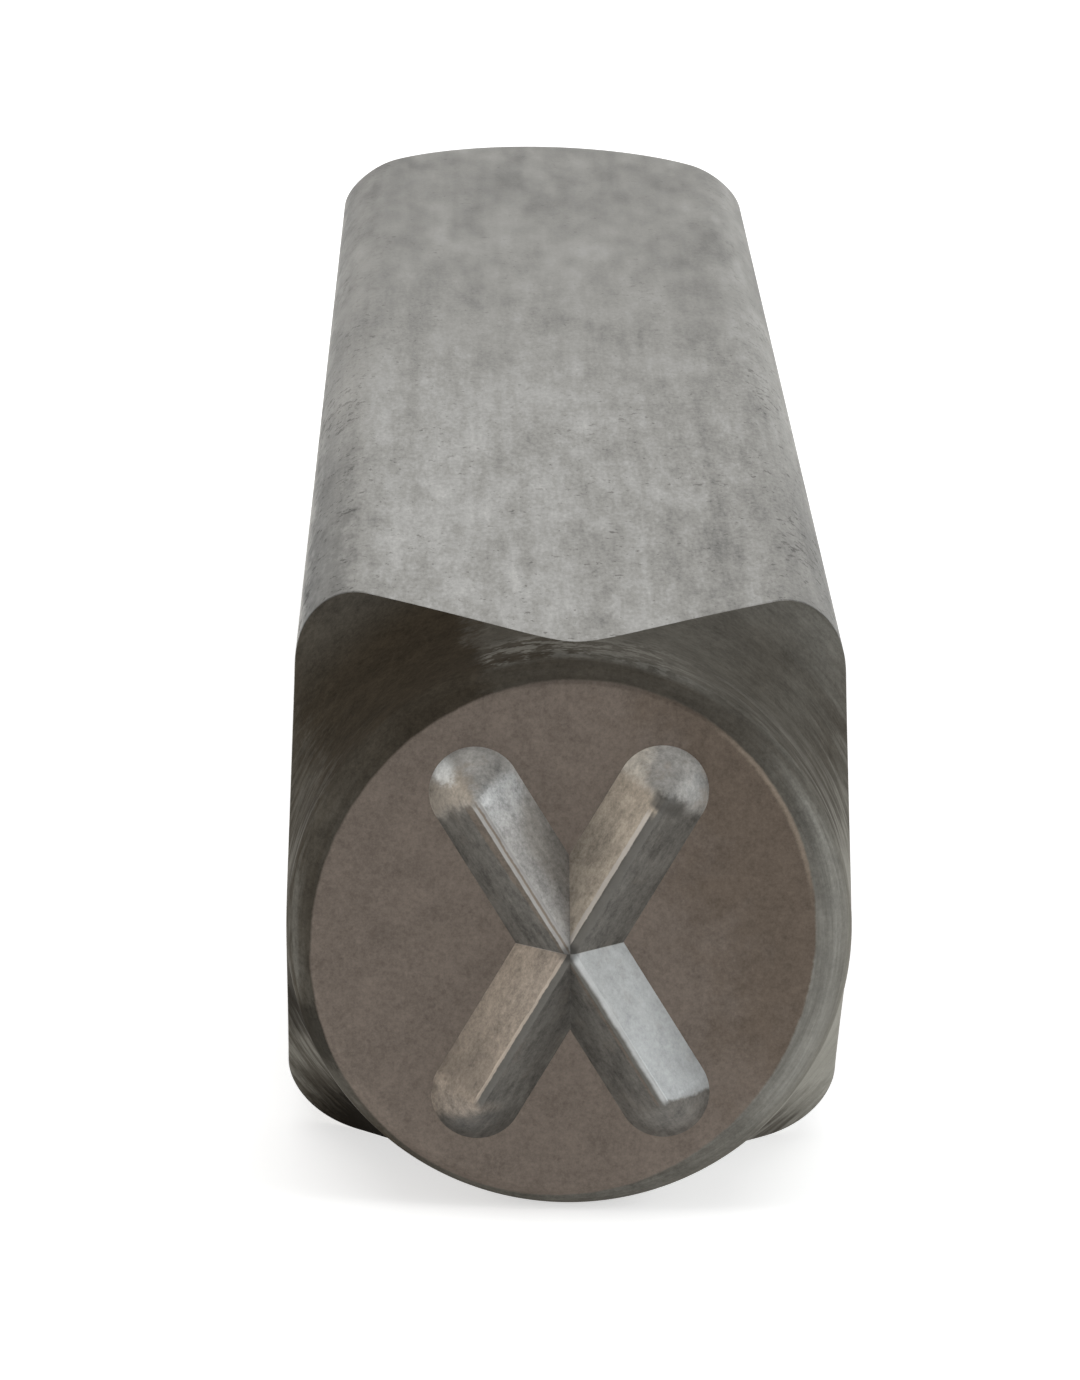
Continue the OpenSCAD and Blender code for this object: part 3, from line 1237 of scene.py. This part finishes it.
@dataclass
class Letter:
    """The raised letter: two crossing strokes with sloping flanks, narrow ridges and cone ends."""

    axis_z: float
    face_y: float
    tall: float = 5.42
    wide: float = 3.28
    height: float = 0.9
    stroke_w: float = 1.62
    ridge_w: float = 0.14
    turn_deg: float = 1.5
    drop: float = 0.12
    broken_edge: float = 0.03
    sharp_deg: float = 15.0
    end_points: int = 96

    def stroke(self, name: str, lean: int) -> bpy.types.Object:
        """Models one stroke: a round blank drawn out lengthwise, then raised to its ridge.

        Args:
            name: The piece's name.
            lean: 1 for the stroke that leans right at its top, -1 for the other.

        Returns:
            The stroke.
        """
        turn = math.atan2(self.tall, lean * self.wide) + math.radians(self.turn_deg)
        along = Vector((math.cos(turn), 0, math.sin(turn)))
        half = math.hypot(self.tall, self.wide) / 2 * MM
        middle = Vector((0, self.face_y, self.axis_z - self.drop)) * MM

        def run(point: bmesh.types.BMVert) -> float:
            """Place along the stroke, from its middle."""
            return (point.co - middle).dot(along)

        Bench.clear()
        bpy.ops.mesh.primitive_circle_add(
            vertices=self.end_points, radius=self.stroke_w / 2 * MM, fill_type="NGON",
            location=middle, rotation=(math.pi / 2, math.pi / 2 - turn, 0),
        )
        piece = bpy.context.object
        piece.name = piece.data.name = name
        bpy.ops.object.transform_apply(location=True, rotation=True, scale=True)
        Bench.edit(piece)
        Bench.pick(piece, Part.VERT, lambda point: run(point) > 0)
        bpy.ops.transform.translate(value=along * half)
        Bench.pick(piece, Part.VERT, lambda point: run(point) <= 0)
        bpy.ops.transform.translate(value=-along * half)
        bpy.ops.mesh.select_all(action="SELECT")
        rise = Vector((0, -self.height * MM, 0))
        bpy.ops.mesh.extrude_region_move(TRANSFORM_OT_translate={"value": rise})
        flank_y = middle.y + rise.y / 2
        shrink = self.ridge_w / self.stroke_w
        for side in (1, -1):
            end = middle + along * half * side + rise
            Bench.pick(piece, Part.VERT, lambda point: point.co.y < flank_y and run(point) * side > 0)
            bpy.ops.transform.resize(value=(shrink, shrink, shrink), center_override=end)
        bpy.ops.mesh.select_all(action="SELECT")
        bpy.ops.mesh.normals_make_consistent(inside=False)
        Bench.close()
        return piece

    def build(self) -> bpy.types.Object:
        """Models the letter.

        Returns:
            The letter.
        """
        piece = self.stroke("stamp_letter", 1)
        other = self.stroke("other_stroke", -1)
        Bench.activate(piece)
        union = piece.modifiers.new("cross", "BOOLEAN")
        union.operation = "UNION"
        union.solver = "EXACT"
        union.object = other
        bpy.ops.object.modifier_apply(modifier=union.name)
        bpy.data.objects.remove(other)
        Bench.edit(piece)
        bpy.ops.mesh.select_all(action="SELECT")
        bpy.ops.mesh.remove_doubles(threshold=MERGE_MM * MM)
        bpy.ops.mesh.select_mode(type="EDGE")
        bpy.ops.mesh.select_all(action="DESELECT")
        bpy.ops.mesh.edges_select_sharp(sharpness=math.radians(self.sharp_deg))
        base = (self.face_y - MERGE_MM) * MM
        mesh = bmesh.from_edit_mesh(piece.data)
        for edge in mesh.edges:
            if not edge.is_convex or all(vertex.co.y > base for vertex in edge.verts):
                edge.select = False
        bmesh.update_edit_mesh(piece.data)
        bpy.ops.mesh.bevel(offset=self.broken_edge * MM, segments=2, affect="EDGES")
        Bench.close()
        Bench.smooth(piece)
        Bench.flatten(piece)
        return piece

    def finish(self) -> GroundLetter:
        """The finish that fits this letter's strokes."""
        lean = (self.wide, self.tall)
        return GroundLetter(middle_z=self.axis_z - self.drop, turn_deg=self.turn_deg, lean=lean)

    def dress(self, piece: bpy.types.Object, ground: bpy.types.Material) -> None:
        """Gives the letter its finish, in place of what the strokes came with."""
        piece.data.materials.clear()
        piece.data.materials.append(ground)
        Bench.hand_in(piece, "letter_x", Slot.LETTER)


@dataclass(frozen=True)
class SoftBox:
    """One studio light, placed by the direction that it shines from."""

    name: str
    azimuth: float
    elevation: float
    wide: float
    tall: float
    radiance: float
    colour: Colour = (1.0, 1.0, 1.0)
    distance: float = 0.9

    def build(self, target: Vector) -> None:
        """Adds the light.

        Args:
            target: The place that it points at.
        """
        turn, rise = math.radians(self.azimuth), math.radians(self.elevation)
        back = Vector((math.sin(turn) * math.cos(rise), -math.cos(turn) * math.cos(rise), math.sin(rise)))
        data = bpy.data.lights.new(self.name, "AREA")
        data.shape = "RECTANGLE"
        data.size = 2 * self.distance * math.tan(math.radians(self.wide / 2))
        data.size_y = 2 * self.distance * math.tan(math.radians(self.tall / 2))
        data.energy = self.radiance * math.pi * data.size * data.size_y
        data.color = self.colour
        light = bpy.data.objects.new(self.name, data)
        light.location = target + back * self.distance
        light.rotation_euler = back.to_track_quat("Z", "Y").to_euler()
        light.visible_camera = False
        bpy.context.scene.collection.objects.link(light)


@dataclass
class Studio:
    """The pale floor, the soft light around it and the camera at the photograph's angle."""

    target: Vector
    face_y: float
    axis_z: float
    sky_front: Colour = (0.30, 0.30, 0.30)
    sky_back: Colour = (1.05, 1.05, 1.05)
    sky_dim_above: float = 0.9
    sky_from: Point = (-0.2, 0.5)
    floor_size: float = 8.0
    floor_cells: int = 8
    boxes: Sequence[SoftBox] = (
        SoftBox("right_box", 84, 21, 44, 30, 2.9, (0.97, 1.0, 1.02)),
        SoftBox("left_box", -84, 19, 40, 26, 2.3, (1.0, 0.95, 0.88)),
        SoftBox("top_box", 0, 86, 60, 40, 1.6),
    )
    lens: float = 213.8
    sensor: float = 36.0
    clip: Point = (0.01, 50.0)
    look_right: float = 0.711
    look_down: float = 11.216
    roll: float = 1.232
    distance: float = 142.84
    aim_x: float = -0.615
    aim_above_axis: float = 4.385

    def build_floor(self) -> None:
        """Lays the floor."""
        Bench.clear()
        cells = {"x_subdivisions": self.floor_cells, "y_subdivisions": self.floor_cells}
        bpy.ops.mesh.primitive_grid_add(size=self.floor_size, **cells)
        floor = bpy.context.object
        floor.name = floor.data.name = "studio_floor"
        floor.data.materials.append(PaleFloor().make())

    def build_sky(self) -> None:
        """Sets a sky that is bright low down behind the stamp and dim above and in front of it."""
        world = bpy.data.worlds.new("studio_sky")
        world.use_nodes = True
        graph = Graph(world.node_tree)
        ahead = graph.node("ShaderNodeTexCoord", {}, {})["Generated"]
        _, back, up = graph.split(ahead)
        glow = graph.step(back - graph.math("MAXIMUM", up, 0.0) * self.sky_dim_above, *self.sky_from)
        sky = graph.mix(glow, self.sky_front, self.sky_back)
        background = graph.node("ShaderNodeBackground", {}, {"Color": sky, "Strength": 1.0})
        graph.node("ShaderNodeOutputWorld", {}, {"Surface": background[0]})
        bpy.context.scene.world = world

    def build_light(self) -> None:
        """Sets the sky and the soft boxes."""
        self.build_sky()
        for box in self.boxes:
            box.build(self.target)

    def build_camera(self) -> None:
        """Places the camera."""
        turn, fall, roll = (math.radians(x) for x in (self.look_right, self.look_down, self.roll))
        ahead = Vector((math.sin(turn) * math.cos(fall), math.cos(turn) * math.cos(fall), -math.sin(fall)))
        level = ahead.cross(Vector((0, 0, 1))).normalized()
        upright = level.cross(ahead)
        right = level * math.cos(roll) + upright * math.sin(roll)
        up = upright * math.cos(roll) - level * math.sin(roll)
        aim = Vector((self.aim_x, self.face_y, self.axis_z + self.aim_above_axis)) * MM
        data = bpy.data.cameras.new("photo_camera")
        data.lens = self.lens
        data.sensor_width = self.sensor
        data.clip_start, data.clip_end = self.clip
        camera = bpy.data.objects.new("photo_camera", data)
        facing = Matrix((right, up, -ahead)).transposed().to_4x4()
        camera.matrix_world = Matrix.Translation(aim - ahead * self.distance * MM) @ facing
        bpy.context.scene.collection.objects.link(camera)
        bpy.context.scene.camera = camera

    def build(self) -> None:
        """Builds the floor, the light and the camera."""
        self.build_floor()
        self.build_light()
        self.build_camera()
        bpy.context.scene.view_settings.view_transform = "Standard"


def main() -> None:
    """Builds the stamp's pieces, dresses them and sets the studio round them."""
    logging.basicConfig(level=logging.INFO, format="%(name)s: %(message)s")
    bar_low, bar_high = (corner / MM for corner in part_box("shank"))
    nose_low, _ = (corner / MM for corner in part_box("nose"))
    _, end_high = (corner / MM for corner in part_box("struck_end"))
    bar = BarSection(width=bar_high.x - bar_low.x, corner=1.3, axis_z=(bar_low.z + bar_high.z) / 2)
    steel = TumbledSteel(axis_z=bar.axis_z).make()

    nose = Nose(bar=bar, face_y=nose_low.y, back_y=bar_low.y)
    nose.dress(nose.build(), HardenedNose(axis_z=bar.axis_z, face_y=nose_low.y).make(), steel)
    shank = Shank(bar, front_y=bar_low.y, back_y=bar_high.y)
    shank.dress(shank.build(), steel)
    end = StruckEnd(bar=bar, front_y=bar_high.y, end_y=end_high.y)
    crown = TurnedCrown(axis_z=bar.axis_z, flat_radius=end.flat_radius).make()
    end.dress(end.build(), steel, crown)
    letter = Letter(bar.axis_z, face_y=nose_low.y)
    letter.dress(letter.build(), letter.finish().make())

    Studio(Vector((0, 0, bar.axis_z * MM)), nose_low.y, bar.axis_z).build()


if __name__ == "__main__":
    main()
